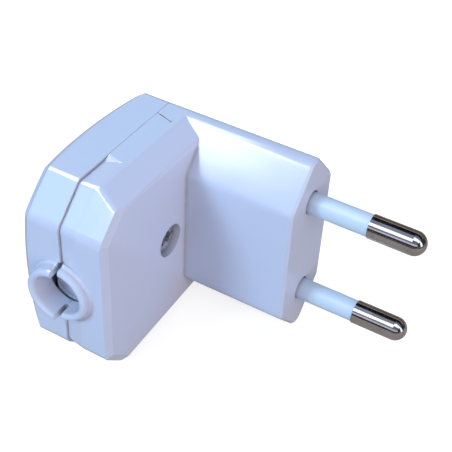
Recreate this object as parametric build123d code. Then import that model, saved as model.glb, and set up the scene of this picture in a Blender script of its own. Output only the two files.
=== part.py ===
"""Angled two-pin plug: flat casing with its cable outlet at right angles to the pins.

Frame: +X is the way the pins point, the cable outlet faces -Y, +Z is up.
The origin is the centre of the pin face, midway between the pins.
All lengths are in millimetres.
"""
from build123d import *
import math
import os

os.makedirs("parts", exist_ok=True)

# Pins
pin_pitch = 18.7
pin_d = 4.0
pin_len = 19.3
shank_d = 2.8
terminal_d = 5.6
terminal_len = 8.0
wire_hole_d = 2.5
wire_hole_back = 4.1
# Insulating sleeves on the pins
sleeve_d = 3.68
sleeve_out = 10.2
sleeve_root = 8.0
# Terminal screws, one in the back of each pin
terminal_screw_d = 2.4
terminal_screw_head_d = 3.4
terminal_screw_head_h = 1.6
terminal_screw_lift = 0.6
terminal_screw_bevel = 0.25
terminal_slot_w = 0.75
terminal_slot_deep = 0.6
# Pin block, the part of the front casing that enters the socket
block_t = 13.8
block_h = 35.0
block_flat = 2.1
block_shoulder = 22.2
block_edge_r = 1.65
block_len = 19.05
pin_face_bevel = 0.4
# Casing outline, seen along the pins
end_y = -29.1
end_face_h = 24.0
chamfer_run = 5.7
end_corner_r = 2.2
top_corner_r = 1.2
# Casing depth
front_depth = 8.15
rear_depth = 9.0
crown_r = 80.0
crown_y = -13.0
rear_bevel = 0.9
wall = 2.0
back_wall = 3.9
# Front casing's slopes and bevels
slope_near_y = -31.0
slope_near_run = 4.45
slope_near_drop = 1.6
slope_near_r = 0.25
slope_far_y = 8.0
slope_far_run = 3.65
slope_far_drop = 2.05
slope_far_r = 2.0
slope_blend_r = 3.0
slope_skin = 0.01
bevel_deep = 0.65
bevel_wide = 1.3
# Parting line
part_gap = 0.05
reveal_deep = 0.45
reveal_run = 3.0
reveal_past = 0.6
reveal_end_y = -15.9
reveal_ramp = 1.4
reveal_turn = -12.0
lip_t = 0.9
lip_h = 1.2
lip_gap = 0.15
lip_root = 3.0
lip_break_gap = 0.75
slit_w = 0.2
slit_deep = 0.35
slit_len = 3.5
slit_y = -2.6
slit_turn = -17.0
# Cable outlet, a collar split between the two casing halves
gland_z = -0.3
gland_r = 5.2
gland_bore_r = 3.9
gland_rear_out = 2.4
gland_front_out = 1.5
gland_split = 0.84
gland_split_in = 0.8
gland_root = 0.4
gland_lip_sides = 6
# Rib behind the outlet that grips the cable
grip_y = -26.6
grip_t = 1.2
grip_h = 10.4
grip_past = 3.5
grip_bevel = 0.5
# Housing screw
screw_y = -11.24
screw_z = 0.45
recess_r = 2.92
recess_deep = 1.0
screw_head_d = 5.3
screw_head_h = 1.9
screw_d = 3.0
screw_len = 11.0
screw_clear = 0.2
screw_head_bevel = 0.35
pilot_spare = 0.4
boss_wall = 1.5
drive_w = 0.75
drive_deep = 0.9
cross_w = 0.7
cross_len = 2.6
# Barrier between the two terminals
barrier_t = 1.2
# Clearances
sleeve_clear = 0.05
shank_clear = 0.04
mouth_clear = 0.17
mouth_lift = 0.14
mouth_deep = 1.2
stack_gap = 0.1
thread_clear = 0.02

# Planes and radii that several pieces share
half_h = block_h / 2
face_x = -block_len
part_x = face_x - front_depth
rear_x = part_x - rear_depth
chamfer_y = end_y + chamfer_run
inner_x = face_x - wall
seat_x = inner_x
terminal_end_x = seat_x - terminal_len
boss_r = screw_head_d / 2 + screw_clear + boss_wall
screw_floor_x = face_x - recess_deep - screw_head_h
front_rim_x = part_x + part_gap / 2
rear_rim_x = part_x - part_gap / 2
# Cutting forms run this far past the face that they cut, or right across the part
over = 1.0
far = 60.0


def soft_polygon(points, radii):
    """Face with its corners rounded, each by its own radius."""
    face = Polygon(*points, align=None)
    for radius in sorted(set(radii)):
        if radius > 0:
            spots = [Vector(*p) for p, r in zip(points, radii) if r == radius]
            corners = [min(face.vertices(), key=lambda v: (Vector(*v) - s).length) for s in spots]
            face = fillet(corners, radius)
    return face


def mirror_ends(points, radii):
    """Closes an upper half outline, given from near end to far side, with its mirror below."""
    lower = [(y, -z) for y, z in reversed(points)]
    return points + lower, radii + list(reversed(radii))


def block_outline():
    """Elongated hexagon of the pin block, seen along the pins."""
    half_t = block_t / 2
    shoulder = block_shoulder / 2
    flat = block_flat / 2
    upper = [(-half_t, shoulder), (-flat, half_h), (flat, half_h), (half_t, shoulder)]
    points, radii = mirror_ends(upper, [block_edge_r] * 4)
    return soft_polygon(points, radii)


def casing_corners():
    """Corners of the casing seen along the pins, with the radius of each."""
    near = [(end_y, end_face_h / 2), (chamfer_y, half_h)]
    far_side = [(block_flat / 2, half_h), (block_t / 2, block_shoulder / 2)]
    radii = [end_corner_r, top_corner_r, block_edge_r, block_edge_r]
    return mirror_ends(near + far_side, radii)


def casing_outline(inset=0.0):
    """Casing seen along the pins: the far side follows the pin block."""
    face = soft_polygon(*casing_corners())
    if inset:
        face = offset(face, amount=-inset, kind=Kind.INTERSECTION)
    return face


def sharp_outline(inset):
    """Casing outline with sharp corners, moved in or out."""
    face = Polygon(*casing_corners()[0], align=None)
    return offset(face, amount=-inset, kind=Kind.INTERSECTION)


def along_x(face, start, end, taper=0.0):
    """Prism of a face drawn in Y and Z, from one X to another."""
    return extrude(Plane.YZ.offset(start) * face, amount=end - start, dir=(1, 0, 0), taper=taper)


def half_space(low, high):
    """Large block between two X values."""
    return Pos((low + high) / 2, 0, 0) * Box(high - low, 4 * far, 4 * far)


def x_cylinder(radius, start, end, y, z):
    """Round bar along X."""
    bar = Cylinder(radius, end - start, rotation=(0, 90, 0))
    return Pos((start + end) / 2, y, z) * bar


def crown():
    """Ball whose skin is the rear cover's domed back."""
    return Pos(rear_x + crown_r, crown_y, 0) * Sphere(crown_r)


def gland_collar(out):
    """Turned collar round the outlet, with a rounded lip and a bevelled root at the end face."""
    lip_r = (gland_r - gland_bore_r) / 2
    lip_y = end_y - out + lip_r
    root_y = end_y + wall
    root_r = gland_r + gland_root
    points = [(root_r, root_y), (root_r, end_y), (gland_r, end_y - gland_root)]
    for side in range(gland_lip_sides + 1):
        turn = math.pi * side / gland_lip_sides
        points.append((gland_bore_r + lip_r + lip_r * math.cos(turn), lip_y - lip_r * math.sin(turn)))
    points.append((gland_bore_r, root_y))
    turned = revolve(Polygon(*points, align=None), axis=Axis.Y)
    return Pos(part_x, 0, gland_z) * turned


def gland_bore():
    """Passage of the cable outlet, through the end wall."""
    inner_y = end_y + wall + over
    length = inner_y - end_y + gland_rear_out + over
    bore = Cylinder(gland_bore_r, length, rotation=(90, 0, 0))
    return Pos(part_x, inner_y - length / 2, gland_z) * bore


def gland_slot():
    """Gap that shows between the two halves of the collar."""
    length = gland_rear_out + gland_split_in + over
    slot = Box(gland_split, length, 2 * (gland_r + gland_root))
    return Pos(part_x, end_y + gland_split_in - length / 2, gland_z) * slot


def tall_outline():
    """Near side of the casing, taller than it is, from the outlet to the middle of the pin block."""
    top = half_h + over
    lean = chamfer_run / (half_h - end_face_h / 2)
    upper = [(end_y, end_face_h / 2), (chamfer_y + over * lean, top), (0, top)]
    points, radii = mirror_ends(upper, [end_corner_r, 0, 0])
    return soft_polygon(points, radii)


def slope_section(run, drop, edge_r, skin):
    """Casing seen from the outlet, with flat top and bottom that slope down to the front face."""
    upper = [(part_x - over, half_h), (face_x - run, half_h), (face_x, half_h - drop)]
    points = upper + [(x, -z) for x, z in reversed(upper)]
    face = Polygon(*points, align=None)
    if skin:
        face = offset(face, amount=skin, kind=Kind.INTERSECTION)
    corners = face.vertices().sort_by(Axis.X)
    if edge_r:
        face = fillet(corners[-2:], edge_r)
        corners = face.vertices().sort_by(Axis.X)
    return fillet(corners[2:4], slope_blend_r)


def slope_form(rounded=False):
    """Form that gives the front casing its height, with a sharp or a rounded front edge."""
    near_r = slope_near_r if rounded else 0
    far_r = slope_far_r if rounded else 0
    skin = slope_skin if rounded else 0
    near = slope_section(slope_near_run, slope_near_drop, near_r, skin)
    far_side = slope_section(slope_far_run, slope_far_drop, far_r, skin)
    sections = [Plane.XZ.offset(-slope_near_y) * near, Plane.XZ.offset(-slope_far_y) * far_side]
    return loft(sections, ruled=True)


def reveal():
    """Wedge taken off the front casing's rim, so that the parting line shows near the outlet."""
    angle = math.degrees(math.atan2(reveal_deep, reveal_run))
    end_x = part_x + reveal_run + reveal_past
    core = along_x(casing_outline(reveal_deep), part_x, end_x, taper=-angle)
    around = along_x(casing_outline(-over), part_x - over, end_x)
    slope = reveal_ramp / reveal_deep
    high = half_h + over / 2
    upper = [
        (-far, high),
        (reveal_end_y + (high - half_h) * slope, high),
        (reveal_end_y - reveal_ramp, half_h - reveal_deep),
    ]
    points = upper + [(y, -z) for y, z in reversed(upper)]
    near = along_x(Polygon(*points, align=None), part_x - far, part_x + far)
    hinge = Pos(part_x, reveal_end_y, 0)
    near = hinge * Rot(0, 0, reveal_turn) * hinge.inverse() * near
    return (around - core) & near


def slit():
    """Short slit of the hidden catch, where the rim meets the top and bottom sides."""
    cut = Pos((slit_len - over) / 2, 0, 0) * Box(slit_len + over, slit_w, 2 * slit_deep)
    upper = Pos(part_x, slit_y, half_h) * Rot(0, 0, slit_turn) * cut
    return upper + mirror(upper, about=Plane.XY)


def pin_bores():
    """Stepped holes for both pins, with a flared mouth in the pin face that is wider at its top."""
    holes = []
    bore = sleeve_d / 2 + sleeve_clear
    reach = (mouth_deep + over) / mouth_deep
    for z in (pin_pitch / 2, -pin_pitch / 2):
        foot = Plane.YZ.offset(-mouth_deep) * Pos(0, z) * Circle(bore)
        mouth = Circle(bore + (mouth_clear - sleeve_clear) * reach)
        tip = Plane.YZ.offset(over) * Pos(0, z + mouth_lift * reach) * mouth
        holes.append(loft([foot, tip], ruled=True))
        holes.append(x_cylinder(sleeve_d / 2 + sleeve_clear, -sleeve_root, over, 0, z))
        holes.append(x_cylinder(shank_d / 2 + shank_clear, seat_x - over, over, 0, z))
    return holes


def bevel_envelope():
    """Form that bevels the front face's rim along the end face and the corners."""
    start = face_x - 2 * bevel_deep
    wide = sharp_outline(-bevel_wide)
    stem = along_x(wide, part_x - over, start)
    foot = Plane.YZ.offset(start) * wide
    tip = Plane.YZ.offset(face_x) * sharp_outline(bevel_wide)
    return stem + loft([foot, tip], ruled=True)


def ridges(body):
    """Edges between the front casing's top or bottom and the slanting sides by the outlet."""
    lowest = half_h - slope_far_drop - over
    found = [e for e in body.edges() if abs(e.center().Z) > lowest and e.center().Y < chamfer_y + over]
    return [e for e in found if e.bounding_box().size.X > slope_skin]


def front_form():
    """Outer form of the casing half in front of the parting line."""
    body = along_x(tall_outline(), front_rim_x, face_x) & slope_form()
    body = fillet(ridges(body), top_corner_r)
    return body & slope_form(rounded=True) & bevel_envelope()


def barrier(clear=0.0):
    """Rib between the two terminals, from the screw boss to the far wall."""
    start = front_rim_x + stack_gap - clear
    thick = barrier_t + 2 * clear
    long = block_t / 2 - screw_y
    rib = Box(inner_x - start, long, thick)
    return Pos((start + inner_x) / 2, screw_y + long / 2, 0) * rib


def cable_grip():
    """Rib behind the outlet that reaches past the parting line and presses on the cable."""
    tip_x = part_x - grip_past
    root_x = inner_x + wall / 2
    rib = Box(root_x - tip_x, grip_t, grip_h)
    rib = chamfer(rib.faces().sort_by(Axis.X)[0].edges().filter_by(Axis.Z), grip_bevel)
    return Pos((root_x + tip_x) / 2, grip_y + grip_t / 2, gland_z) * rib


def front_casing():
    """Front half of the casing, with the pin block and the front half of the outlet."""
    block = along_x(block_outline(), front_rim_x, 0)
    block = chamfer(block.faces().sort_by(Axis.X)[-1].edges(), pin_face_bevel)
    casing = front_form() + block
    casing = casing - reveal() - slit()
    casing = casing - along_x(casing_outline(wall), part_x - over, inner_x)
    casing = casing + x_cylinder(boss_r, rear_rim_x + stack_gap / 2, face_x - wall / 2, screw_y, screw_z)
    casing = casing + (barrier() & along_x(casing_outline(wall / 2), part_x, inner_x)) + cable_grip()
    casing = casing + (gland_collar(gland_front_out) & half_space(front_rim_x, far))
    casing = casing - x_cylinder(recess_r, screw_floor_x, face_x + over, screw_y, screw_z)
    casing = casing - x_cylinder(screw_d / 2 + screw_clear, part_x - over, face_x, screw_y, screw_z)
    for hole in pin_bores():
        casing = casing - hole
    return casing - gland_bore() - gland_slot()


def locating_lip():
    """Rim inside the rear cover that enters the front casing, broken at the outlet and the barrier."""
    root_x = rear_rim_x - lip_root
    ledge = along_x(casing_outline(wall / 2), root_x, rear_rim_x)
    lip = along_x(casing_outline(wall + lip_gap), root_x, rear_rim_x + lip_h)
    hollow = along_x(casing_outline(wall + lip_gap + lip_t), root_x - over, rear_rim_x + lip_h + over)
    break_y = 2 * (wall + lip_gap + lip_t + over)
    break_z = 2 * (gland_r + lip_break_gap)
    outlet = Pos(part_x, end_y, gland_z) * Box(2 * (lip_root + over), break_y, break_z)
    return lip + ledge - hollow - outlet - barrier(lip_gap)


def rear_cover():
    """Rear half of the casing, domed, with the rear half of the outlet and the screw boss."""
    body = along_x(casing_outline(), rear_x - over, rear_rim_x) & crown()
    back = [e for e in body.edges() if e.bounding_box().max.X < rear_rim_x - over]
    body = chamfer(back, rear_bevel)
    body = body - along_x(casing_outline(wall), rear_x + back_wall, part_x + over)
    body = body + locating_lip()
    body = body + x_cylinder(boss_r, rear_x + back_wall / 2, rear_rim_x - stack_gap / 2, screw_y, screw_z)
    body = body + (gland_collar(gland_rear_out) & half_space(-far, rear_rim_x))
    pilot_end = screw_floor_x - screw_len - pilot_spare
    body = body - x_cylinder(screw_d / 2, pilot_end, part_x + over, screw_y, screw_z)
    return body - gland_bore() - gland_slot()


def pin(z):
    """Turned pin: round tip, neck under the sleeve, terminal head with wire and screw holes."""
    r = pin_d / 2
    neck = shank_d / 2
    head = terminal_d / 2
    with BuildSketch(Plane.XY) as profile:
        with BuildLine():
            Line((terminal_end_x, 0), (pin_len, 0))
            RadiusArc((pin_len, 0), (pin_len - r, r), -r)
            Line((pin_len - r, r), (sleeve_out, r))
            Line((sleeve_out, r), (sleeve_out, neck))
            Line((sleeve_out, neck), (seat_x, neck))
            Line((seat_x, neck), (seat_x, head))
            Line((seat_x, head), (terminal_end_x, head))
            Line((terminal_end_x, head), (terminal_end_x, 0))
        make_face()
    body = Pos(0, 0, z) * revolve(profile.sketch, axis=Axis.X)
    wire_x = seat_x - wire_hole_back
    wire = Pos(wire_x, 0, z) * Cylinder(wire_hole_d / 2, 2 * terminal_d, rotation=(90, 0, 0))
    thread = x_cylinder(terminal_screw_d / 2, terminal_end_x - over, wire_x, 0, z)
    return body - wire - thread


def sleeve(z):
    """Insulating tube on the pin's neck, seated against the metal's shoulder."""
    tube = x_cylinder(sleeve_d / 2, -sleeve_root + sleeve_clear, sleeve_out, 0, z)
    return tube - x_cylinder(shank_d / 2 + shank_clear / 2, -sleeve_root - over, sleeve_out + over, 0, z)


def slotted_head(radius, height, slot_w, slot_deep, bevel):
    """Screw head on +Z with a slot across it, its underside at the origin."""
    head = Pos(0, 0, height / 2) * Cylinder(radius, height)
    head = chamfer(head.edges().sort_by(Axis.Z)[-1], bevel)
    return head - Pos(0, 0, height - slot_deep / 2) * Box(3 * radius, slot_w, slot_deep)


def screw_stem(diameter, length):
    """Threaded part of a screw as a plain bar below the origin."""
    return Pos(0, 0, -length / 2) * Cylinder(diameter / 2 - thread_clear, length)


def terminal_screw(z):
    """Screw that clamps the wire, driven into the back of the pin."""
    radius = terminal_screw_head_d / 2
    head = slotted_head(
        radius, terminal_screw_head_h, terminal_slot_w, terminal_slot_deep, terminal_screw_bevel
    )
    body = head + screw_stem(terminal_screw_d, terminal_len - wire_hole_back + terminal_screw_lift)
    return Pos(terminal_end_x - terminal_screw_lift, 0, z) * Rot(0, -90, 0) * body


def housing_screw():
    """Screw that holds the two halves of the casing, with a slot and a cross in its head."""
    head = slotted_head(screw_head_d / 2, screw_head_h, drive_w, drive_deep, screw_head_bevel)
    for turn in (45, 135):
        arm = Box(cross_len, cross_w, drive_deep)
        head = head - Pos(0, 0, screw_head_h - drive_deep / 2) * Rot(0, 0, turn) * arm
    body = head + screw_stem(screw_d, screw_len)
    return Pos(screw_floor_x, screw_y, screw_z) * Rot(0, 90, 0) * body


def main():
    """Builds every piece and writes one file for each."""
    pieces = {
        "front_casing": front_casing(),
        "rear_cover": rear_cover(),
        "housing_screw": housing_screw(),
    }
    for name, z in (("upper", pin_pitch / 2), ("lower", -pin_pitch / 2)):
        pieces["pin_" + name] = pin(z)
        pieces["sleeve_" + name] = sleeve(z)
        pieces["terminal_screw_" + name] = terminal_screw(z)
    for name, shape in pieces.items():
        print(name, "volume", round(shape.volume, 2))
        export_step(shape.solid(), f"parts/{name}.step")


if __name__ == "__main__":
    main()
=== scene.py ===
"""Dressed model of an angled two-pin plug: glossy white casing, sleeved nickel pins and steel screws.

All lengths are in metres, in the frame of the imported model: +X along the pins, the cable outlet
towards -Y, +Z up, and the origin in the middle of the pin face.
"""
import logging
import math
from dataclasses import dataclass, field
from enum import Enum
from typing import Protocol

import bmesh
import bpy
from mathutils import Matrix, Vector


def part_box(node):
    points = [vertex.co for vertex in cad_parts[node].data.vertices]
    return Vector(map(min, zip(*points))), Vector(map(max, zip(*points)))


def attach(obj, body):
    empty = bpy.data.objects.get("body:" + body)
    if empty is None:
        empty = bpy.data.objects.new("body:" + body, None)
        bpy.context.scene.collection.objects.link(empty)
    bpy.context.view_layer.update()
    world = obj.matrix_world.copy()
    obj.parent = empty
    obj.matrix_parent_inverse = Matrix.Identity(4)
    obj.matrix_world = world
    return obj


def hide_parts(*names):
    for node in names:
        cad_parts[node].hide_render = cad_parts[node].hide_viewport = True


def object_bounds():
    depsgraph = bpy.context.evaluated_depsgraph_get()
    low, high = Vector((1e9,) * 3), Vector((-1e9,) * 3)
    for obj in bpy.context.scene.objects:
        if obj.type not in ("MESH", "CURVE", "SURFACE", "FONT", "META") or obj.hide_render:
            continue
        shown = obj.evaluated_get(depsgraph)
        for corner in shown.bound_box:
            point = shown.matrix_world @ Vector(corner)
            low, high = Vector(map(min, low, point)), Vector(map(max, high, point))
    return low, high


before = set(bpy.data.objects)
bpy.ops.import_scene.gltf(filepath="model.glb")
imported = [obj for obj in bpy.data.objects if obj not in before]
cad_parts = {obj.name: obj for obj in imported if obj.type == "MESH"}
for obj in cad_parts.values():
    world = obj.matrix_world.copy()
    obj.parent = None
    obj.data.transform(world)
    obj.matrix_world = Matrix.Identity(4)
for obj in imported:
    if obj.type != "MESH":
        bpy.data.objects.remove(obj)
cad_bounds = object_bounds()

Triple = tuple[float, float, float]
Colour = Triple
Place = Triple
Span = tuple[float, float]
Profile = list[tuple[float, float]]
Socket = bpy.types.NodeSocket

log = logging.getLogger("angled_plug")

MM = 0.001
SLIVER = MM / 1000
ROOT = "root"
WHITE: Colour = (1.0, 1.0, 1.0)
CREVICE_SAMPLES = 8
EDGE_SAMPLES = 6


class Side(Enum):
    """The two ends of the pin face."""

    UPPER = "upper"
    LOWER = "lower"


class Facing(Enum):
    """Which way along X a screw's head faces."""

    FORWARD = 1
    BACKWARD = -1


class Finish(Protocol):
    """Anything that can make its own material."""

    def material(self) -> bpy.types.Material:
        """Builds the material."""
        ...


class ShaderTree:
    """A node material under construction, with its principled shader already linked."""

    def __init__(self, name: str) -> None:
        """Starts an empty material.

        Args:
            name: The material's name.
        """
        self.material = bpy.data.materials.new(name)
        self.material.use_nodes = True
        self.nodes = self.material.node_tree.nodes
        self.links = self.material.node_tree.links
        self.nodes.clear()
        output = self.nodes.new("ShaderNodeOutputMaterial")
        self.principled = self.nodes.new("ShaderNodeBsdfPrincipled")
        self.links.new(self.principled.outputs[0], output.inputs["Surface"])
        self.place = self.nodes.new("ShaderNodeTexCoord").outputs["Object"]

    def constants(self, **values: float | tuple[float, ...]) -> None:
        """Sets plain numbers and colours on the shader's own sockets.

        Args:
            values: Socket names with underscores for spaces, and their values.
        """
        for key, value in values.items():
            self.principled.inputs[key.replace("_", " ")].default_value = value

    def stretched(self, scale: Triple) -> Socket:
        """Object coordinates stretched along each axis.

        Args:
            scale: Factor along X, Y and Z.

        Returns:
            The socket that carries the stretched place.
        """
        node = self.nodes.new("ShaderNodeMapping")
        node.inputs["Scale"].default_value = scale
        self.links.new(self.place, node.inputs["Vector"])
        return node.outputs[0]

    def noise(self, scale: float, detail: float, place: Socket | None = None) -> Socket:
        """Cloudy pattern from 0 to 1.

        Args:
            scale: Features per metre.
            detail: Layers of finer pattern.
            place: Socket with the place, or None for the object's own.

        Returns:
            The socket that carries the pattern.
        """
        node = self.nodes.new("ShaderNodeTexNoise")
        node.inputs["Scale"].default_value = scale
        node.inputs["Detail"].default_value = detail
        self.links.new(place or self.place, node.inputs["Vector"])
        return node.outputs[0]

    def remap(self, value: Socket, low: float, high: float, to_low: float, to_high: float) -> Socket:
        """Stretches a range of a value to another range and clamps it.

        Args:
            value: The socket to change.
            low: Start of its range.
            high: End of its range.
            to_low: What the start becomes.
            to_high: What the end becomes.

        Returns:
            The socket with the changed value.
        """
        node = self.nodes.new("ShaderNodeMapRange")
        for index, number in enumerate((low, high, to_low, to_high), start=1):
            node.inputs[index].default_value = number
        self.links.new(value, node.inputs[0])
        return node.outputs[0]

    def blend(self, factor: Socket, first: Colour | Socket, second: Colour | Socket) -> Socket:
        """Mixes two colours.

        Args:
            factor: 0 for the first colour, 1 for the second.
            first: A colour or a socket that carries one.
            second: A colour or a socket that carries one.

        Returns:
            The socket with the mixed colour.
        """
        node = self.nodes.new("ShaderNodeMix")
        node.data_type = "RGBA"
        self.links.new(factor, node.inputs[0])
        for index, colour in ((6, first), (7, second)):
            if isinstance(colour, tuple):
                node.inputs[index].default_value = (*colour, 1.0)
            else:
                self.links.new(colour, node.inputs[index])
        return node.outputs[2]

    def crevices(self, reach: float) -> Socket:
        """How open a place is: 1 on a free face, less in a groove.

        Args:
            reach: Distance in metres within which walls count.

        Returns:
            The socket that carries the openness.
        """
        node = self.nodes.new("ShaderNodeAmbientOcclusion")
        node.samples = CREVICE_SAMPLES
        node.inputs["Distance"].default_value = reach
        return node.outputs["AO"]

    def softened(self, radius: float | Socket) -> Socket:
        """Normal that rounds sharp edges a little, as a mould does.

        Args:
            radius: Radius of the rounding in metres, or a socket that carries it.

        Returns:
            The socket that carries the normal.
        """
        node = self.nodes.new("ShaderNodeBevel")
        node.samples = EDGE_SAMPLES
        if isinstance(radius, float):
            node.inputs["Radius"].default_value = radius
        else:
            self.links.new(radius, node.inputs["Radius"])
        return node.outputs[0]

    def maths(self, operation: str, first: Socket, second: Socket | float = 0.0) -> Socket:
        """One sum on one or two values.

        Args:
            operation: Name of the sum, such as MULTIPLY.
            first: The first value.
            second: The second value, a number or a socket.

        Returns:
            The socket with the result.
        """
        node = self.nodes.new("ShaderNodeMath")
        node.operation = operation
        self.links.new(first, node.inputs[0])
        if isinstance(second, float):
            node.inputs[1].default_value = second
        else:
            self.links.new(second, node.inputs[1])
        return node.outputs[0]

    def axis_places(self) -> tuple[Socket, Socket, Socket]:
        """The place along X, Y and Z, each on its own.

        Returns:
            The three sockets.
        """
        split = self.nodes.new("ShaderNodeSeparateXYZ")
        self.links.new(self.place, split.inputs[0])
        return tuple(split.outputs)

    def bump(self, height: Socket, depth: float, normal: Socket | None = None) -> Socket:
        """Normal pushed about by a height pattern.

        Args:
            height: The pattern, from 0 to 1.
            depth: Height in metres of a full step.
            normal: Normal to start from, or None for the surface's own.

        Returns:
            The socket that carries the normal.
        """
        node = self.nodes.new("ShaderNodeBump")
        node.inputs["Strength"].default_value = 1.0
        node.inputs["Distance"].default_value = depth
        self.links.new(height, node.inputs["Height"])
        if normal is not None:
            self.links.new(normal, node.inputs["Normal"])
        return node.outputs[0]

    def colour(self, socket: Socket) -> None:
        """Links the base colour."""
        self.links.new(socket, self.principled.inputs["Base Color"])

    def roughness(self, socket: Socket) -> None:
        """Links the roughness."""
        self.links.new(socket, self.principled.inputs["Roughness"])

    def normal(self, socket: Socket) -> None:
        """Links the normal."""
        self.links.new(socket, self.principled.inputs["Normal"])


@dataclass(frozen=True)
class Pattern:
    """A cloudy pattern: features per metre, layers, the span of it that shows, and its stretch."""

    scale: float
    detail: float
    span: Span = (0.0, 1.0)
    stretch: Triple | None = None

    def raw(self, tree: ShaderTree) -> Socket:
        """Adds the pattern to a tree as it is."""
        place = tree.stretched(self.stretch) if self.stretch else None
        return tree.noise(self.scale, self.detail, place)

    def between(self, tree: ShaderTree, start: float, end: float) -> Socket:
        """Adds the pattern to a tree with its span turned into another.

        Args:
            tree: The tree.
            start: What the start of its span becomes.
            end: What the end of its span becomes.

        Returns:
            The socket that carries the pattern.
        """
        return tree.remap(self.raw(tree), *self.span, start, end)


@dataclass(frozen=True)
class SoftArris:
    """The two long arrises of the pin block, which are rounder than other edges.

    Fields are their height over and under the middle, their ends along X, how far up and down they reach,
    over which lengths they fade out, and their radius.
    """

    height: float = 11.1 * MM
    back: float = -17.1 * MM
    front: float = -1.9 * MM
    reach: float = 2.3 * MM
    end_fade: float = 0.5 * MM
    side_fade: float = 0.7 * MM
    radius: float = 1.3 * MM

    def edge_radius(self, tree: ShaderTree, sharp: float) -> Socket:
        """Radius of the edges everywhere, larger along the arrises.

        Args:
            tree: The tree it is for.
            sharp: Radius of all other edges.

        Returns:
            The socket that carries the radius.
        """
        x, _, z = tree.axis_places()
        away = tree.maths("ABSOLUTE", tree.maths("SUBTRACT", tree.maths("ABSOLUTE", z), self.height))
        near = tree.remap(away, self.reach - self.side_fade, self.reach + self.side_fade, 1.0, 0.0)
        front = tree.remap(x, self.front - self.end_fade, self.front + self.end_fade, 1.0, 0.0)
        back = tree.remap(x, self.back - self.end_fade, self.back + self.end_fade, 0.0, 1.0)
        mask = tree.maths("MULTIPLY", near, tree.maths("MULTIPLY", front, back))
        return tree.remap(mask, 0.0, 1.0, sharp, self.radius)


@dataclass(frozen=True)
class MouldedWhite:
    """Cool white plastic straight from a polished mould.

    The first fields are the colour of a clean face, the painted shade colour for wide corners, the painted
    shade colour for grooves, the range of roughness, the radius of moulded edges and the depth of the slow
    waves in a moulded face. The fields with "open" in their names say how open a place is where a painted
    shade starts and ends. The flow level is the brightness of the flow clouds. The share of corner shade is
    how much of the corners' painted shade shows at its fullest, the seam share how much painted shade the
    tightest seams hold, and the least groove shade how much of it is left between its patches.
    """

    name: str
    clean: Colour
    corner: Colour
    groove_shade: Colour
    shine: Span
    edge_radius: float
    wave_depth: float
    streak_depth: float = 0.003 * MM
    grain_depth: float = 0.0012 * MM
    flow_level: float = 0.985
    refraction: float = 1.5
    corner_reach: float = 9.0 * MM
    corner_open: Span = (0.35, 0.95)
    corner_shade_share: float = 0.30
    groove_shade_reach: float = 1.4 * MM
    groove_shade_open: Span = (0.15, 0.80)
    seam_open: Span = (0.02, 0.12)
    seam_share: float = 0.15
    thinnest_groove_shade: float = 0.55
    flow: Pattern = Pattern(90.0, 3.0, (0.35, 0.65))
    shade_patches: Pattern = Pattern(700.0, 4.0, (0.3, 0.7))
    scuffs: Pattern = Pattern(1400.0, 4.0, (0.35, 0.7), (1.0, 0.25, 1.0))
    streaks: Pattern = Pattern(420.0, 2.0, stretch=(0.12, 1.0, 1.0))
    waves: Pattern = Pattern(130.0, 1.0)
    grain: Pattern = Pattern(5200.0, 2.0)
    arris: SoftArris = SoftArris()

    def material(self) -> bpy.types.Material:
        """Builds the plastic with flow clouds, painted shade in corners and grooves, fine wear and slow
        waves.

        Returns:
            The material.
        """
        tree = ShaderTree(self.name)
        tree.constants(IOR=self.refraction, Subsurface_Weight=0.0)
        dimmed = tuple(channel * self.flow_level for channel in self.clean)
        clean = tree.blend(self.flow.between(tree, 0.0, 1.0), self.clean, dimmed)
        # Painted shade: a neutral grey mixed in where wide corners are closed in.
        corner_shading = tree.remap(tree.crevices(self.corner_reach), *self.corner_open, self.corner_shade_share, 0.0)
        clean = tree.blend(corner_shading, clean, self.corner)
        # Painted shade: a dark colour mixed in patches into grooves and seams, less in the tightest seams.
        openness = tree.crevices(self.groove_shade_reach)
        groove = tree.remap(openness, *self.groove_shade_open, 1.0, 0.0)
        groove_shade_mask = tree.maths("MULTIPLY", groove, tree.remap(openness, *self.seam_open, self.seam_share, 1.0))
        patchy_shade = self.shade_patches.between(tree, self.thinnest_groove_shade, 1.0)
        tree.colour(tree.blend(tree.maths("MULTIPLY", groove_shade_mask, patchy_shade), clean, self.groove_shade))
        tree.roughness(self.scuffs.between(tree, *self.shine))
        rounded = tree.softened(self.arris.edge_radius(tree, self.edge_radius))
        streaked = tree.bump(self.streaks.raw(tree), self.streak_depth, rounded)
        wavy = tree.bump(self.waves.raw(tree), self.wave_depth, streaked)
        tree.normal(tree.bump(self.grain.raw(tree), self.grain_depth, wavy))
        return tree.material


@dataclass(frozen=True)
class NickelPlate:
    """Polished nickel on a turned pin, with fine scratches along it.

    The shine is the range of roughness.
    """

    name: str = "nickel_plate"
    bright: Colour = (0.80, 0.80, 0.82)
    dull: Colour = (0.64, 0.63, 0.62)
    shine: Span = (0.06, 0.12)
    scratch_depth: float = 0.0008 * MM
    tarnish: Pattern = Pattern(500.0, 4.0, (0.45, 0.8))
    scratches: Pattern = Pattern(9000.0, 3.0, (0.3, 0.75), (0.02, 1.0, 1.0))

    def material(self) -> bpy.types.Material:
        """Builds the metal with insertion scratches along the pin and faint tarnish.

        Returns:
            The material.
        """
        tree = ShaderTree(self.name)
        tree.constants(Metallic=1.0)
        tree.colour(tree.blend(self.tarnish.between(tree, 0.0, 1.0), self.bright, self.dull))
        scratches = self.scratches.raw(tree)
        tree.roughness(tree.remap(scratches, *self.scratches.span, *self.shine))
        tree.normal(tree.bump(scratches, self.scratch_depth))
        return tree.material


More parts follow.
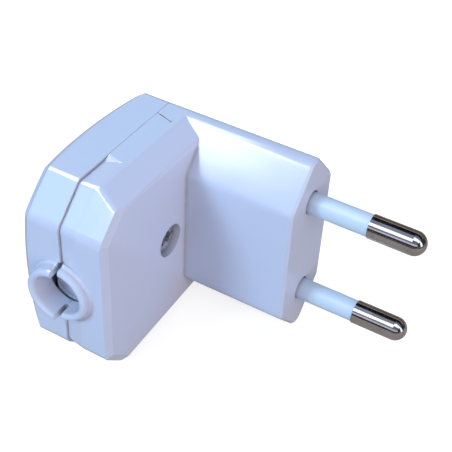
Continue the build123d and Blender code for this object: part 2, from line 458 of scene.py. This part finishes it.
@dataclass(frozen=True)
class ZincSteel:
    """Zinc-plated steel of a small screw, with painted shade in its corners.

    The shine is the range of roughness. The crevice shade is painted shade: its span says how open a place
    is where it starts and ends, and its share how much of its colour shows at its fullest.
    """

    name: str = "zinc_steel"
    bright: Colour = (0.66, 0.69, 0.75)
    dull: Colour = (0.30, 0.33, 0.38)
    crevice_shade: Colour = (0.12, 0.13, 0.16)
    metal: float = 0.8
    shine: Span = (0.22, 0.42)
    crevice_shade_reach: float = 0.4 * MM
    crevice_shade_open: Span = (0.3, 0.9)
    crevice_shade_share: float = 0.75
    edge_radius: float = 0.05 * MM
    grain_depth: float = 0.004 * MM
    crystals: Pattern = Pattern(1500.0, 4.0, (0.4, 0.65))
    grain: Pattern = Pattern(4000.0, 3.0)

    def material(self) -> bpy.types.Material:
        """Builds the plating with a patchy crystal look and painted shade in its corners.

        Returns:
            The material.
        """
        tree = ShaderTree(self.name)
        tree.constants(Metallic=self.metal)
        crystals = self.crystals.between(tree, 0.0, 1.0)
        plated = tree.blend(crystals, self.bright, self.dull)
        # Painted shade: a dark colour mixed into the closed-in corners, slot and cross.
        corners = tree.remap(tree.crevices(self.crevice_shade_reach), *self.crevice_shade_open, self.crevice_shade_share, 0.0)
        tree.colour(tree.blend(corners, plated, self.crevice_shade))
        tree.roughness(tree.remap(crystals, 0.0, 1.0, *self.shine))
        tree.normal(tree.bump(self.grain.raw(tree), self.grain_depth, tree.softened(self.edge_radius)))
        return tree.material


# After the clean colour come two painted shade colours, one for wide corners and one for grooves.
CASING_WHITE = MouldedWhite(
    name="casing_white",
    clean=(0.53, 0.61, 0.87),
    corner=(0.56, 0.55, 0.56),
    groove_shade=(0.27, 0.28, 0.32),
    shine=(0.08, 0.14),
    edge_radius=0.15 * MM,
    wave_depth=0.012 * MM,
)
SLEEVE_WHITE = MouldedWhite(
    name="sleeve_white",
    clean=(0.54, 0.69, 0.93),
    corner=(0.46, 0.50, 0.60),
    groove_shade=(0.20, 0.18, 0.17),
    shine=(0.30, 0.42),
    edge_radius=0.08 * MM,
    wave_depth=0.01 * MM,
)


def dress(thing: bpy.types.Object, material: bpy.types.Material) -> None:
    """Gives an object one material.

    Args:
        thing: The object.
        material: Its only material.
    """
    thing.data.materials.clear()
    thing.data.materials.append(material)


def dress_solid(name: str, material: bpy.types.Material) -> None:
    """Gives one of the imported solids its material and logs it.

    Args:
        name: The solid's node.
        material: Its only material.
    """
    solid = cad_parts[name]
    dress(solid, material)
    log.info("%s: %d faces", name, len(solid.data.polygons))


def mesh_object(name: str, mesh: bmesh.types.BMesh) -> bpy.types.Object:
    """Turns a finished mesh into an object of the scene.

    Args:
        name: Name of the object and of its mesh.
        mesh: Its mesh, freed here.

    Returns:
        The new object.
    """
    data = bpy.data.meshes.new(name)
    mesh.to_mesh(data)
    mesh.free()
    thing = bpy.data.objects.new(name, data)
    bpy.context.scene.collection.objects.link(thing)
    return thing


def new_piece(
    name: str, mesh: bmesh.types.BMesh, material: bpy.types.Material
) -> bpy.types.Object:
    """Turns a finished mesh into a piece that rides on the plug.

    Args:
        name: The piece's name.
        mesh: Its mesh, in the row frame, freed here.
        material: Its material.

    Returns:
        The new object.
    """
    bmesh.ops.recalc_face_normals(mesh, faces=mesh.faces)
    thing = mesh_object(name, mesh)
    dress(thing, material)
    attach(thing, ROOT)
    return thing


@dataclass
class Casing:
    """The two halves of the casing, whose solids carry their whole shape."""

    plastic: Finish = CASING_WHITE
    halves: tuple[str, str] = ("front_casing", "rear_cover")

    def build(self) -> None:
        """Dresses both halves in the same plastic."""
        material = self.plastic.material()
        for name in self.halves:
            dress_solid(name, material)


@dataclass
class PlugPin:
    """One pin with its sleeve."""

    side: Side
    metal: bpy.types.Material
    sleeve: bpy.types.Material

    def build(self) -> None:
        """Dresses the pin and the sleeve."""
        dress_solid(f"pin_{self.side.value}", self.metal)
        dress_solid(f"sleeve_{self.side.value}", self.sleeve)


@dataclass
class SlottedScrew:
    """A turned screw along X with a slot, an optional cross and a rolled thread.

    A cross length of 0 means no cross, and a slot turn of 0 means a slot along Z. The slot reach is the
    length of its cutter in head radii, and the mouth how much wider a cutter is at its top than at its
    floor. Fields whose names end in "share" are parts of another size: the ring and the dimple of the flat
    face, the root of the head's height, the neck and the tip of the stem, the foot of the pitch, the sunk
    edge of the core, and the fade and the least height of the thread. The last four fields are worked out
    from the solid: the head's way along X, the place of its underside, the stem's length and the axis.
    """

    node: str
    facing: Facing
    steel: bpy.types.Material
    head_radius: float
    head_height: float
    bevel: float
    slot_width: float
    slot_depth: float
    cross_width: float
    cross_length: float
    stem_radius: float
    pitch: float
    slot_turn: float = 0.0
    dome: float = 0.06 * MM
    ring_width: float = 0.16 * MM
    ring_depth: float = 0.05 * MM
    thread_depth: float = 0.28 * MM
    thread_start: float = 1.1 * MM
    thread_stop: float = 0.5 * MM
    neck: float = 0.5 * MM
    ring_share: float = 0.86
    dimple_share: float = 0.55
    root_share: float = 0.3
    neck_share: float = 0.9
    tip_share: float = 0.6
    foot_share: float = 0.28
    sunk_share: float = 0.97
    fade_share: float = 0.1
    least_share: float = 0.1
    slot_reach: float = 3.0
    mouth: float = 1.12
    cross_turns: tuple[float, ...] = (45.0, 135.0)
    sharp_angle: float = 32.0
    segments: int = 72
    steps_per_turn: int = 28
    way: int = field(init=False)
    base: float = field(init=False)
    length: float = field(init=False)
    axis: Vector = field(init=False)

    def __post_init__(self) -> None:
        """Works out where the screw stands and how long its stem is."""
        low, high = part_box(self.node)
        top = high[0] if self.facing is Facing.FORWARD else low[0]
        self.way = self.facing.value
        self.base = top - self.way * self.head_height
        self.length = high[0] - low[0] - self.head_height
        self.axis = Vector((0.0, (low[1] + high[1]) / 2, (low[2] + high[2]) / 2))

    def build(self) -> None:
        """Makes the screw in place of its solid."""
        cut = self.cut_head()
        whole = bmesh.new()
        whole.from_mesh(cut)
        bpy.data.meshes.remove(cut)
        self.add_turned(whole, self.stem_profile())
        self.add_thread(whole)
        bmesh.ops.dissolve_degenerate(whole, dist=SLIVER, edges=whole.edges)
        thing = new_piece(f"{self.node}_detail", whole, self.steel)
        thing.data.polygons.foreach_set("use_smooth", [True] * len(thing.data.polygons))
        thing.data.set_sharp_from_angle(angle=math.radians(self.sharp_angle))
        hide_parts(self.node)
        log.info("%s: %d faces", thing.name, len(thing.data.polygons))

    def head_profile(self) -> Profile:
        """Height and radius of the head from its underside round its rim to its middle.

        Returns:
            The profile, whose flat face rises by the dome's height towards the middle.
        """
        height = self.head_height
        radius = self.head_radius
        flat = radius - self.bevel
        ring = flat * self.ring_share
        outside = height - self.dome * 0.8
        inside = height - self.dome * 0.7
        dimple = height - self.dome * 0.3
        return [
            (0.0, 0.0),
            (0.0, radius - self.bevel / 3),
            (self.bevel / 3, radius),
            (height - self.bevel - self.dome, radius),
            (height - self.bevel / 2 - self.dome, radius - self.bevel / 4),
            (height - self.dome, flat),
            (outside, ring + self.ring_width),
            (outside - self.ring_depth, ring + self.ring_width / 2),
            (inside, ring),
            (dimple, flat * self.dimple_share),
            (height, 0.0),
        ]

    def stem_profile(self) -> Profile:
        """Height and radius of the core from inside the head down to its blunt point.

        Returns:
            The profile.
        """
        core = self.stem_radius - self.thread_depth
        shank = self.stem_radius * self.neck_share
        root = self.head_height * self.root_share
        return [
            (root, 0.0),
            (root, shank),
            (-self.neck, shank),
            (-self.neck - self.thread_depth, core),
            (-self.length + self.thread_depth * 2, core),
            (-self.length, core * self.tip_share),
            (-self.length, 0.0),
        ]

    def place(self, height: float, radius: float, angle: float) -> Vector:
        """A point of the screw.

        Args:
            height: Height over the head's underside, towards the top of the head.
            radius: Distance from the axis.
            angle: Angle about the axis.

        Returns:
            The point.
        """
        x = self.base + self.way * height
        return self.axis + Vector((x, radius * math.cos(angle), radius * math.sin(angle)))

    def add_turned(self, mesh: bmesh.types.BMesh, profile: Profile) -> None:
        """Adds a turned form to a mesh.

        Args:
            mesh: The mesh to add to.
            profile: Heights and radii, the first and the last of them on the axis.
        """
        step = math.tau / self.segments
        rings: list[list[bmesh.types.BMVert]] = []
        for height, radius in profile:
            count = self.segments if radius > 0.0 else 1
            rings.append([mesh.verts.new(self.place(height, radius, step * turn)) for turn in range(count)])
        for first, second in zip(rings, rings[1:]):
            for turn in range(self.segments):
                after = (turn + 1) % self.segments
                corners = [first[turn % len(first)], first[after % len(first)]]
                corners += [second[after % len(second)], second[turn % len(second)]]
                mesh.faces.new(list(dict.fromkeys(corners)))

    def cut_head(self) -> bpy.types.Mesh:
        """Turns the head and cuts the slot and the cross out of it.

        Returns:
            The mesh of the finished head.
        """
        mesh = bmesh.new()
        self.add_turned(mesh, self.head_profile())
        bmesh.ops.recalc_face_normals(mesh, faces=mesh.faces)
        blank = mesh_object(f"{self.node}_head", mesh)
        arms = [(self.slot_turn, self.slot_reach * self.head_radius, self.slot_width)]
        if self.cross_length > 0.0:
            arms += [(turn, self.cross_length, self.cross_width) for turn in self.cross_turns]
        cutters = [self.cutter(*arm) for arm in arms]
        for cutter in cutters:
            cut = blank.modifiers.new(cutter.name, "BOOLEAN")
            cut.operation = "DIFFERENCE"
            cut.solver = "EXACT"
            cut.object = cutter
        bpy.context.view_layer.update()
        shape = blank.evaluated_get(bpy.context.evaluated_depsgraph_get())
        done = bpy.data.meshes.new_from_object(shape)
        for thing in (blank, *cutters):
            data = thing.data
            bpy.data.objects.remove(thing)
            bpy.data.meshes.remove(data)
        return done

    def cutter(self, turn: float, length: float, width: float) -> bpy.types.Object:
        """A bar that cuts one arm of the drive, a little wider at its mouth.

        Args:
            turn: Angle of the arm in degrees about the screw's axis.
            length: Length of the arm.
            width: Width of the arm at its floor.

        Returns:
            The bar as an object of its own.
        """
        mesh = bmesh.new()
        bmesh.ops.create_cube(mesh, size=1.0)
        for corner in mesh.verts:
            spread = self.mouth if corner.co.z > 0.0 else 1.0
            reach = math.copysign(self.slot_depth, corner.co.z)
            corner.co = Vector((corner.co.x * length, corner.co.y * width * spread, reach))
        stand = Matrix.Rotation(self.way * math.pi / 2, 4, "Y") @ Matrix.Rotation(math.radians(turn), 4, "Z")
        top = self.axis + Vector((self.base + self.way * self.head_height, 0.0, 0.0))
        bmesh.ops.transform(mesh, matrix=Matrix.Translation(top) @ stand, verts=mesh.verts)
        bmesh.ops.recalc_face_normals(mesh, faces=mesh.faces)
        return mesh_object(f"{self.node}_arm", mesh)

    def add_thread(self, mesh: bmesh.types.BMesh) -> None:
        """Winds a pointed ridge round the core, which fades out at both ends.

        Args:
            mesh: The mesh to add to.
        """
        core = self.stem_radius - self.thread_depth
        foot = core * self.sunk_share
        half = self.pitch * self.foot_share
        run = self.length - self.thread_start - self.thread_stop
        steps = round(run / self.pitch * self.steps_per_turn)
        rows: list[list[bmesh.types.BMVert]] = []
        for step in range(steps + 1):
            share = step / steps
            fade = min(1.0, share / self.fade_share, (1.0 - share) / self.fade_share)
            middle = -self.thread_start - run * share
            angle = math.tau * run * share / self.pitch
            crest = core + self.thread_depth * (self.least_share + (1.0 - self.least_share) * fade)
            row = [(middle + half, foot), (middle, crest), (middle - half, foot)]
            rows.append([mesh.verts.new(self.place(height, radius, angle)) for height, radius in row])
        for first, second in zip(rows, rows[1:]):
            for near, far in ((0, 1), (1, 2), (2, 0)):
                mesh.faces.new((first[near], first[far], second[far], second[near]))
        mesh.faces.new(rows[0])
        mesh.faces.new(rows[-1][::-1])


def housing_screw(steel: bpy.types.Material) -> SlottedScrew:
    """The screw that holds the two halves together.

    Args:
        steel: Its material.

    Returns:
        The screw, not built yet.
    """
    return SlottedScrew(
        node="housing_screw",
        facing=Facing.FORWARD,
        steel=steel,
        head_radius=2.65 * MM,
        head_height=1.9 * MM,
        bevel=0.35 * MM,
        slot_width=0.75 * MM,
        slot_depth=0.6 * MM,
        cross_width=0.7 * MM,
        cross_length=2.6 * MM,
        stem_radius=1.46 * MM,
        pitch=1.0 * MM,
        slot_turn=90.0,
    )


def terminal_screw(side: Side, steel: bpy.types.Material) -> SlottedScrew:
    """The screw that clamps a wire in a pin's head.

    Args:
        side: Which pin it belongs to.
        steel: Its material.

    Returns:
        The screw, not built yet.
    """
    return SlottedScrew(
        node=f"terminal_screw_{side.value}",
        facing=Facing.BACKWARD,
        steel=steel,
        head_radius=1.7 * MM,
        head_height=1.6 * MM,
        bevel=0.25 * MM,
        slot_width=0.75 * MM,
        slot_depth=0.6 * MM,
        cross_width=0.0,
        cross_length=0.0,
        stem_radius=1.16 * MM,
        pitch=0.5 * MM,
        thread_depth=0.22 * MM,
    )


@dataclass
class PhotoCamera:
    """Camera at the place worked out from the photograph."""

    place: Place = (44.528 * MM, -111.061 * MM, 106.405 * MM)
    azimuth: float = 28.204
    elevation: float = 40.872
    roll: float = 3.322
    lens: float = 77.80
    sensor: float = 36.0
    nearest: float = 1.0 * MM

    def build(self) -> None:
        """Creates the camera and makes it the scene's own."""
        azimuth = math.radians(self.azimuth)
        elevation = math.radians(self.elevation)
        roll = math.radians(self.roll)
        flat = math.cos(elevation)
        back = Vector((math.sin(azimuth) * flat, -math.cos(azimuth) * flat, math.sin(elevation)))
        level = (-back).cross(Vector((0.0, 0.0, 1.0))).normalized()
        upright = level.cross(-back)
        right = math.cos(roll) * level + math.sin(roll) * upright
        up = -math.sin(roll) * level + math.cos(roll) * upright
        data = bpy.data.cameras.new("photo_camera")
        data.lens = self.lens
        data.sensor_width = self.sensor
        data.clip_start = self.nearest
        camera = bpy.data.objects.new("photo_camera", data)
        turn = Matrix((right, up, back)).transposed().to_4x4()
        camera.matrix_world = Matrix.Translation(Vector(self.place)) @ turn
        bpy.context.scene.collection.objects.link(camera)
        bpy.context.scene.camera = camera
        log.info("camera set")


@dataclass(frozen=True)
class SoftBox:
    """A square area lamp aimed at the plug."""

    name: str
    direction: Triple
    distance: float
    size: float
    power: float
    colour: Colour = WHITE

    def build(self, aim: Vector) -> None:
        """Creates the lamp.

        Args:
            aim: The point it looks at.
        """
        data = bpy.data.lights.new(self.name, "AREA")
        data.size = self.size
        data.energy = self.power
        data.color = self.colour
        lamp = bpy.data.objects.new(self.name, data)
        way = Vector(self.direction).normalized()
        lamp.location = aim + self.distance * way
        lamp.rotation_euler = way.to_track_quat("Z", "Y").to_euler()
        lamp.visible_glossy = False
        bpy.context.scene.collection.objects.link(lamp)


@dataclass(frozen=True)
class Card:
    """A plain card that stands round the plug and shows only in reflections."""

    name: str
    centre: Place
    facing: Triple
    width: float
    height: float
    colour: Colour
    strength: float = 1.0

    def build(self) -> None:
        """Creates the card as part of the studio."""
        mesh = bmesh.new()
        bmesh.ops.create_grid(mesh, x_segments=1, y_segments=1, size=0.5)
        turn = Vector(self.facing).to_track_quat("Z", "Y").to_matrix().to_4x4()
        size = Matrix.Diagonal((self.width, self.height, 1.0, 1.0))
        place = Matrix.Translation(Vector(self.centre)) @ turn @ size
        bmesh.ops.transform(mesh, matrix=place, verts=mesh.verts)
        card = mesh_object(self.name, mesh)
        material = bpy.data.materials.new(self.name)
        material.use_nodes = True
        nodes = material.node_tree.nodes
        nodes.clear()
        glow = nodes.new("ShaderNodeEmission")
        glow.inputs["Color"].default_value = (*self.colour, 1.0)
        glow.inputs["Strength"].default_value = self.strength
        output = nodes.new("ShaderNodeOutputMaterial")
        material.node_tree.links.new(glow.outputs[0], output.inputs["Surface"])
        dress(card, material)
        card.visible_camera = False
        card.visible_diffuse = False
        card.visible_shadow = False
        card.visible_transmission = False


@dataclass
class Studio:
    """Pale floor, white surroundings, soft lamps and reflection cards."""

    floor_half: float = 3.0
    floor_grey: float = 0.42
    floor_glow: float = 0.78
    world_light: float = 0.59
    floor_gap: float = 0.05 * MM
    roof: float = 1.5

    def build(self) -> None:
        """Builds the floor, the world, the lamps and the cards."""
        self.floor()
        self.world()
        middle = (Vector(cad_bounds[0]) + Vector(cad_bounds[1])) / 2
        for lamp in self.lamps():
            lamp.build(middle)
        for card in self.cards():
            card.build()
        log.info("studio built")

    def lamps(self) -> list[SoftBox]:
        """The soft lamps: cool key on the outlet's side, neutral back, warm fill in front, weak blue sky.

        Returns:
            The lamps.
        """
        return [
            SoftBox("key", (-0.38, -0.74, 0.55), 0.60, 0.15, 1.46, (0.75, 1.08, 1.22)),
            SoftBox("back", (-0.62, 0.78, 0.02), 0.90, 0.60, 1.80, (1.05, 1.0, 0.95)),
            SoftBox("fill", (0.92, -0.36, 0.22), 1.60, 1.06, 11.2, (1.26, 1.03, 0.88)),
            SoftBox("sky", (-0.20, 0.25, 0.95), 0.70, 0.50, 0.26, (0.0, 0.80, 1.60)),
        ]

    def cards(self) -> list[Card]:
        """The cards round the plug: strips and tints overhead, upright cards for the metal, and a table.

        Returns:
            The cards.
        """
        ahead = (0.0, -1.0, 0.0)
        back = (0.0, 1.0, 0.0)
        left = (-1.0, 0.0, 0.0)
        up = (0.0, 0.0, 1.0)
        white = (0.95, 1.0, 1.0)
        return [
            self.overhead("wide_strip", (-0.70, -0.60), (-1.042, -0.30), white, 16.0),
            self.overhead("mid_strip", (-0.60, -0.54), (-1.026, -0.30), white, 16.0),
            self.overhead("haze", (-0.54, -0.465), (-1.035, -0.990), (0.85, 1.0, 0.80), 5.0),
            self.overhead("green_haze", (-0.95, -0.705), (-1.12, -0.85), (0.38, 1.0, 0.42), 2.2),
            self.overhead("reveal_haze", (-1.75, -1.28), (-1.20, -0.80), (0.62, 1.0, 0.50), 3.4),
            self.overhead("top_tint", (-1.02, -0.66), (0.95, 1.34), (0.42, 0.80, 1.0), 1.0),
            self.overhead("rim_strip", (-1.25, -0.82), (-0.55, 0.60), white, 16.0),
            self.overhead("thin_strip", (-0.54, -0.40), (-0.955, -0.30), white, 16.0),
            self.overhead("arris_strip", (-0.702, -0.40), (-0.26, 0.40), white, 12.0),
            self.overhead("pin_strip", (-0.38, -0.10), (-1.05, -0.38), white, 1.6),
            self.overhead("tip_strip", (-0.10, 1.10), (-0.55, -0.05), white, 1.5),
            self.overhead("grey_sky", (-0.40, -0.10), (-0.38, 0.19), (0.22, 0.24, 0.33), 1.0),
            self.overhead("dark_sky", (-0.42, -0.10), (0.19, 1.19), (0.006, 0.006, 0.009), 1.0),
            self.overhead("tip_sky", (-0.10, 2.20), (-0.05, 0.35), (0.16, 0.18, 0.26), 1.0),
            self.overhead("tip_dark", (-0.10, 2.20), (0.35, 2.00), (0.010, 0.010, 0.014), 1.0),
            self.overhead("tip_grey", (-0.10, 2.20), (-1.60, -0.55), (0.15, 0.15, 0.19), 1.0),
            Card("right_light", (1.7, -0.18, 0.74), left, 0.42, 1.50, white, 1.4),
            Card("right_far", (1.7, 1.10, 0.75), left, 2.0, 1.50, (0.030, 0.035, 0.050)),
            Card("right_near", (1.7, -1.30, 0.75), left, 1.7, 1.50, (0.050, 0.045, 0.050)),
            Card("far_light", (0.4, 1.6, 1.22), ahead, 2.6, 0.36, (0.33, 0.28, 0.26)),
            Card("far_brown", (0.4, 1.6, 0.52), ahead, 2.6, 1.04, (0.115, 0.086, 0.070)),
            Card("near_dark", (0.3, -1.6, 0.21), back, 2.8, 0.44, (0.035, 0.033, 0.04)),
            Card("near_light", (0.3, -1.6, 0.66), back, 2.8, 0.46, (0.60, 0.58, 0.74)),
            Card("near_grey", (0.3, -1.6, 1.24), back, 2.8, 0.70, (0.17, 0.17, 0.21)),
            Card("table", (0.0, 0.0, -0.0172), up, 0.30, 0.26, (0.27, 0.245, 0.235)),
            Card("table_end", (0.0, 0.0, -0.0174), up, 3.2, 3.2, (0.06, 0.055, 0.06)),
        ]

    def overhead(self, name: str, across: Span, along: Span, colour: Colour, strength: float) -> Card:
        """A card that hangs flat over the plug.

        Args:
            name: The card's name.
            across: Where it starts and ends along X, as shares of its height over the plug.
            along: Where it starts and ends along Y, likewise.
            colour: Its colour.
            strength: Its glow.

        Returns:
            The card.
        """
        centre = (sum(across) / 2 * self.roof, sum(along) / 2 * self.roof, self.roof)
        width = (across[1] - across[0]) * self.roof
        height = (along[1] - along[0]) * self.roof
        return Card(name, centre, (0.0, 0.0, -1.0), width, height, colour, strength)

    def floor(self) -> None:
        """Creates a pale floor under the plug, which keeps its shadow."""
        mesh = bmesh.new()
        bmesh.ops.create_grid(mesh, x_segments=1, y_segments=1, size=self.floor_half)
        bmesh.ops.translate(mesh, vec=(0.0, 0.0, cad_bounds[0][2] - self.floor_gap), verts=mesh.verts)
        floor = mesh_object("floor", mesh)
        material = bpy.data.materials.new("pale_floor")
        material.use_nodes = True
        nodes = material.node_tree.nodes
        links = material.node_tree.links
        nodes.clear()
        paper = nodes.new("ShaderNodeBsdfDiffuse")
        paper.inputs["Color"].default_value = (*[self.floor_grey] * 3, 1.0)
        glow = nodes.new("ShaderNodeEmission")
        glow.inputs["Color"].default_value = (*WHITE, 1.0)
        links.new(self.seen(nodes, links, self.floor_glow), glow.inputs["Strength"])
        both = nodes.new("ShaderNodeAddShader")
        links.new(paper.outputs[0], both.inputs[0])
        links.new(glow.outputs[0], both.inputs[1])
        output = nodes.new("ShaderNodeOutputMaterial")
        links.new(both.outputs[0], output.inputs["Surface"])
        dress(floor, material)

    def seen(self, nodes: bpy.types.Nodes, links: bpy.types.NodeLinks, strength: float) -> Socket:
        """A strength that holds only for what the camera sees, straight on or in gloss and glass.

        Args:
            nodes: The tree's nodes.
            links: The tree's links.
            strength: The strength for those rays.

        Returns:
            The socket that carries it.
        """
        path = nodes.new("ShaderNodeLightPath")
        total = path.outputs["Is Camera Ray"]
        for kind in ("Is Glossy Ray", "Is Transmission Ray"):
            either = nodes.new("ShaderNodeMath")
            either.operation = "MAXIMUM"
            links.new(total, either.inputs[0])
            links.new(path.outputs[kind], either.inputs[1])
            total = either.outputs[0]
        scaled = nodes.new("ShaderNodeMath")
        scaled.operation = "MULTIPLY"
        scaled.inputs[1].default_value = strength
        links.new(total, scaled.inputs[0])
        return scaled.outputs[0]

    def world(self) -> None:
        """White surroundings that light the plug at a plain level."""
        world = bpy.data.worlds.new("surroundings")
        bpy.context.scene.world = world
        world.use_nodes = True
        nodes = world.node_tree.nodes
        links = world.node_tree.links
        nodes.clear()
        light = nodes.new("ShaderNodeBackground")
        light.inputs["Color"].default_value = (*WHITE, 1.0)
        light.inputs["Strength"].default_value = self.world_light
        white = nodes.new("ShaderNodeBackground")
        white.inputs["Color"].default_value = (*WHITE, 1.0)
        white.inputs["Strength"].default_value = 1.0
        either = nodes.new("ShaderNodeMixShader")
        links.new(self.seen(nodes, links, 1.0), either.inputs[0])
        links.new(light.outputs[0], either.inputs[1])
        links.new(white.outputs[0], either.inputs[2])
        output = nodes.new("ShaderNodeOutputWorld")
        links.new(either.outputs[0], output.inputs["Surface"])


def main() -> None:
    """Builds the plug piece by piece, then the camera and the studio."""
    logging.basicConfig(level=logging.INFO, format="%(name)s %(message)s")
    bpy.context.scene.view_settings.view_transform = "Standard"
    Casing().build()
    nickel = NickelPlate().material()
    zinc = ZincSteel().material()
    tube = SLEEVE_WHITE.material()
    for side in Side:
        PlugPin(side, nickel, tube).build()
        terminal_screw(side, zinc).build()
    housing_screw(zinc).build()
    PhotoCamera().build()
    Studio().build()


if __name__ == "__main__":
    main()
